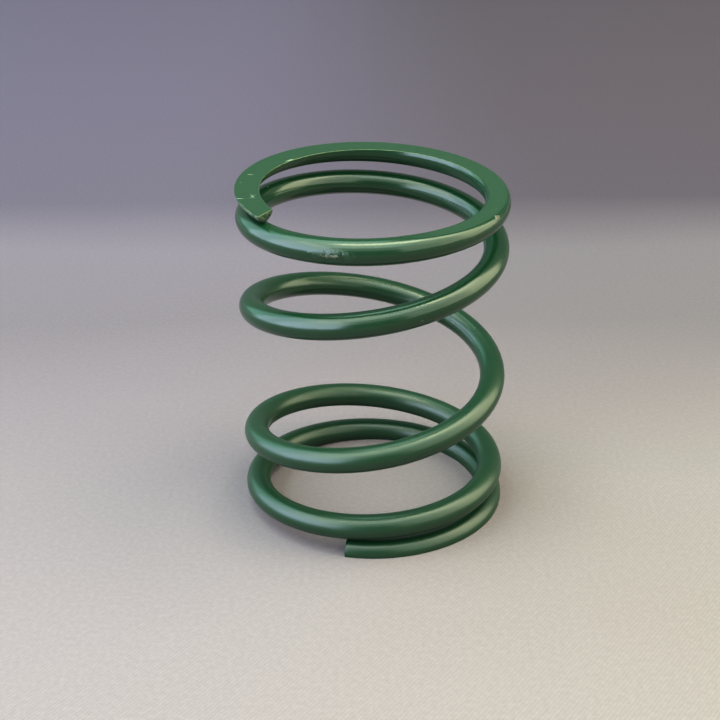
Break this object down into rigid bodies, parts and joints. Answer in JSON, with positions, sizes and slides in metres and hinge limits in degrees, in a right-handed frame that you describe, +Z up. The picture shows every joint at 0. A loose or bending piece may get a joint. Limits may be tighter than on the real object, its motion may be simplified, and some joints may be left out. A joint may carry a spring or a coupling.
{
  "type": "compression coil spring",
  "caption": "Green painted helical compression spring of round wire, wound right-handed, with closed and ground ends and a wider pitch in the middle.",
  "frame": {"origin": "on the spring's axis, in the plane of the lower ground face", "axes": "+Z up along the spring's axis; -Y towards the side that the picture shows"},
  "size_m": [0.06, 0.06, 0.077],
  "materials": {
    "green_paint": "satin"
  },
  "bodies": {
    "bottom_end": {"bottom_end_coil": "green_paint"},
    "top_end": {"top_end_coil": "green_paint"},
    "active_01": {"active_wire_01": "green_paint"},
    "active_02": {"active_wire_02": "green_paint"},
    "active_03": {"active_wire_03": "green_paint"},
    "active_04": {"active_wire_04": "green_paint"},
    "active_05": {"active_wire_05": "green_paint"},
    "active_06": {"active_wire_06": "green_paint"},
    "active_07": {"active_wire_07": "green_paint"},
    "active_08": {"active_wire_08": "green_paint"},
    "active_09": {"active_wire_09": "green_paint"},
    "active_10": {"active_wire_10": "green_paint"},
    "active_11": {"active_wire_11": "green_paint"},
    "active_12": {"active_wire_12": "green_paint"},
    "active_13": {"active_wire_13": "green_paint"},
    "active_14": {"active_wire_14": "green_paint"},
    "active_15": {"active_wire_15": "green_paint"},
    "active_16": {"active_wire_16": "green_paint"},
    "active_17": {"active_wire_17": "green_paint"},
    "active_18": {"active_wire_18": "green_paint"},
    "active_19": {"active_wire_19": "green_paint"},
    "active_20": {"active_wire_20": "green_paint"},
    "active_21": {"active_wire_21": "green_paint"},
    "active_22": {"active_wire_22": "green_paint"},
    "active_23": {"active_wire_23": "green_paint"},
    "active_24": {"active_wire_24": "green_paint"},
    "active_25": {"active_wire_25": "green_paint"},
    "active_26": {"active_wire_26": "green_paint"},
    "active_27": {"active_wire_27": "green_paint"},
    "active_28": {"active_wire_28": "green_paint"},
    "active_29": {"active_wire_29": "green_paint"},
    "active_30": {"active_wire_30": "green_paint"},
    "active_31": {"active_wire_31": "green_paint"},
    "active_32": {"active_wire_32": "green_paint"},
    "active_33": {"active_wire_33": "green_paint"},
    "active_34": {"active_wire_34": "green_paint"}
  },
  "joints": [
    {"name": "compression", "type": "slide", "parent": "bottom_end", "child": "top_end", "axis": [0, 0, 1], "range_m": [-0.036, 0], "stiffness_N_per_m": 21000},
    {"name": "wire_01_travel", "type": "slide", "parent": "bottom_end", "child": "active_01", "axis": [0, 0, 1], "range_m": [-0.0002708, 0]},
    {"name": "wire_02_travel", "type": "slide", "parent": "bottom_end", "child": "active_02", "axis": [0, 0, 1], "range_m": [-0.000625, 0]},
    {"name": "wire_03_travel", "type": "slide", "parent": "bottom_end", "child": "active_03", "axis": [0, 0, 1], "range_m": [-0.00111, 0]},
    {"name": "wire_04_travel", "type": "slide", "parent": "bottom_end", "child": "active_04", "axis": [0, 0, 1], "range_m": [-0.00173, 0]},
    {"name": "wire_05_travel", "type": "slide", "parent": "bottom_end", "child": "active_05", "axis": [0, 0, 1], "range_m": [-0.00246, 0]},
    {"name": "wire_06_travel", "type": "slide", "parent": "bottom_end", "child": "active_06", "axis": [0, 0, 1], "range_m": [-0.00331, 0]},
    {"name": "wire_07_travel", "type": "slide", "parent": "bottom_end", "child": "active_07", "axis": [0, 0, 1], "range_m": [-0.00425, 0]},
    {"name": "wire_08_travel", "type": "slide", "parent": "bottom_end", "child": "active_08", "axis": [0, 0, 1], "range_m": [-0.00528, 0]},
    {"name": "wire_09_travel", "type": "slide", "parent": "bottom_end", "child": "active_09", "axis": [0, 0, 1], "range_m": [-0.0064, 0]},
    {"name": "wire_10_travel", "type": "slide", "parent": "bottom_end", "child": "active_10", "axis": [0, 0, 1], "range_m": [-0.00759, 0]},
    {"name": "wire_11_travel", "type": "slide", "parent": "bottom_end", "child": "active_11", "axis": [0, 0, 1], "range_m": [-0.00885, 0]},
    {"name": "wire_12_travel", "type": "slide", "parent": "bottom_end", "child": "active_12", "axis": [0, 0, 1], "range_m": [-0.01016, 0]},
    {"name": "wire_13_travel", "type": "slide", "parent": "bottom_end", "child": "active_13", "axis": [0, 0, 1], "range_m": [-0.01152, 0]},
    {"name": "wire_14_travel", "type": "slide", "parent": "bottom_end", "child": "active_14", "axis": [0, 0, 1], "range_m": [-0.01292, 0]},
    {"name": "wire_15_travel", "type": "slide", "parent": "bottom_end", "child": "active_15", "axis": [0, 0, 1], "range_m": [-0.01435, 0]},
    {"name": "wire_16_travel", "type": "slide", "parent": "bottom_end", "child": "active_16", "axis": [0, 0, 1], "range_m": [-0.0158, 0]},
    {"name": "wire_17_travel", "type": "slide", "parent": "bottom_end", "child": "active_17", "axis": [0, 0, 1], "range_m": [-0.01727, 0]},
    {"name": "wire_18_travel", "type": "slide", "parent": "bottom_end", "child": "active_18", "axis": [0, 0, 1], "range_m": [-0.01873, 0]},
    {"name": "wire_19_travel", "type": "slide", "parent": "bottom_end", "child": "active_19", "axis": [0, 0, 1], "range_m": [-0.0202, 0]},
    {"name": "wire_20_travel", "type": "slide", "parent": "bottom_end", "child": "active_20", "axis": [0, 0, 1], "range_m": [-0.02165, 0]},
    {"name": "wire_21_travel", "type": "slide", "parent": "bottom_end", "child": "active_21", "axis": [0, 0, 1], "range_m": [-0.02308, 0]},
    {"name": "wire_22_travel", "type": "slide", "parent": "bottom_end", "child": "active_22", "axis": [0, 0, 1], "range_m": [-0.02448, 0]},
    {"name": "wire_23_travel", "type": "slide", "parent": "bottom_end", "child": "active_23", "axis": [0, 0, 1], "range_m": [-0.02584, 0]},
    {"name": "wire_24_travel", "type": "slide", "parent": "bottom_end", "child": "active_24", "axis": [0, 0, 1], "range_m": [-0.02715, 0]},
    {"name": "wire_25_travel", "type": "slide", "parent": "bottom_end", "child": "active_25", "axis": [0, 0, 1], "range_m": [-0.02841, 0]},
    {"name": "wire_26_travel", "type": "slide", "parent": "bottom_end", "child": "active_26", "axis": [0, 0, 1], "range_m": [-0.0296, 0]},
    {"name": "wire_27_travel", "type": "slide", "parent": "bottom_end", "child": "active_27", "axis": [0, 0, 1], "range_m": [-0.03072, 0]},
    {"name": "wire_28_travel", "type": "slide", "parent": "bottom_end", "child": "active_28", "axis": [0, 0, 1], "range_m": [-0.03175, 0]},
    {"name": "wire_29_travel", "type": "slide", "parent": "bottom_end", "child": "active_29", "axis": [0, 0, 1], "range_m": [-0.03269, 0]},
    {"name": "wire_30_travel", "type": "slide", "parent": "bottom_end", "child": "active_30", "axis": [0, 0, 1], "range_m": [-0.03354, 0]},
    {"name": "wire_31_travel", "type": "slide", "parent": "bottom_end", "child": "active_31", "axis": [0, 0, 1], "range_m": [-0.03427, 0]},
    {"name": "wire_32_travel", "type": "slide", "parent": "bottom_end", "child": "active_32", "axis": [0, 0, 1], "range_m": [-0.03489, 0]},
    {"name": "wire_33_travel", "type": "slide", "parent": "bottom_end", "child": "active_33", "axis": [0, 0, 1], "range_m": [-0.03538, 0]},
    {"name": "wire_34_travel", "type": "slide", "parent": "bottom_end", "child": "active_34", "axis": [0, 0, 1], "range_m": [-0.03573, 0]}
  ],
  "couplings": [
    {"joint": "wire_01_travel", "follows": "compression", "ratio": 0.00752},
    {"joint": "wire_02_travel", "follows": "compression", "ratio": 0.01736},
    {"joint": "wire_03_travel", "follows": "compression", "ratio": 0.03096},
    {"joint": "wire_04_travel", "follows": "compression", "ratio": 0.04807},
    {"joint": "wire_05_travel", "follows": "compression", "ratio": 0.06844},
    {"joint": "wire_06_travel", "follows": "compression", "ratio": 0.09183},
    {"joint": "wire_07_travel", "follows": "compression", "ratio": 0.11801},
    {"joint": "wire_08_travel", "follows": "compression", "ratio": 0.14673},
    {"joint": "wire_09_travel", "follows": "compression", "ratio": 0.17775},
    {"joint": "wire_10_travel", "follows": "compression", "ratio": 0.21082},
    {"joint": "wire_11_travel", "follows": "compression", "ratio": 0.24571},
    {"joint": "wire_12_travel", "follows": "compression", "ratio": 0.28217},
    {"joint": "wire_13_travel", "follows": "compression", "ratio": 0.31996},
    {"joint": "wire_14_travel", "follows": "compression", "ratio": 0.35884},
    {"joint": "wire_15_travel", "follows": "compression", "ratio": 0.39857},
    {"joint": "wire_16_travel", "follows": "compression", "ratio": 0.4389},
    {"joint": "wire_17_travel", "follows": "compression", "ratio": 0.47959},
    {"joint": "wire_18_travel", "follows": "compression", "ratio": 0.52041},
    {"joint": "wire_19_travel", "follows": "compression", "ratio": 0.5611},
    {"joint": "wire_20_travel", "follows": "compression", "ratio": 0.60143},
    {"joint": "wire_21_travel", "follows": "compression", "ratio": 0.64116},
    {"joint": "wire_22_travel", "follows": "compression", "ratio": 0.68004},
    {"joint": "wire_23_travel", "follows": "compression", "ratio": 0.71783},
    {"joint": "wire_24_travel", "follows": "compression", "ratio": 0.75429},
    {"joint": "wire_25_travel", "follows": "compression", "ratio": 0.78918},
    {"joint": "wire_26_travel", "follows": "compression", "ratio": 0.82225},
    {"joint": "wire_27_travel", "follows": "compression", "ratio": 0.85327},
    {"joint": "wire_28_travel", "follows": "compression", "ratio": 0.88199},
    {"joint": "wire_29_travel", "follows": "compression", "ratio": 0.90817},
    {"joint": "wire_30_travel", "follows": "compression", "ratio": 0.93156},
    {"joint": "wire_31_travel", "follows": "compression", "ratio": 0.95193},
    {"joint": "wire_32_travel", "follows": "compression", "ratio": 0.96904},
    {"joint": "wire_33_travel", "follows": "compression", "ratio": 0.98264},
    {"joint": "wire_34_travel", "follows": "compression", "ratio": 0.99248}
  ]
}
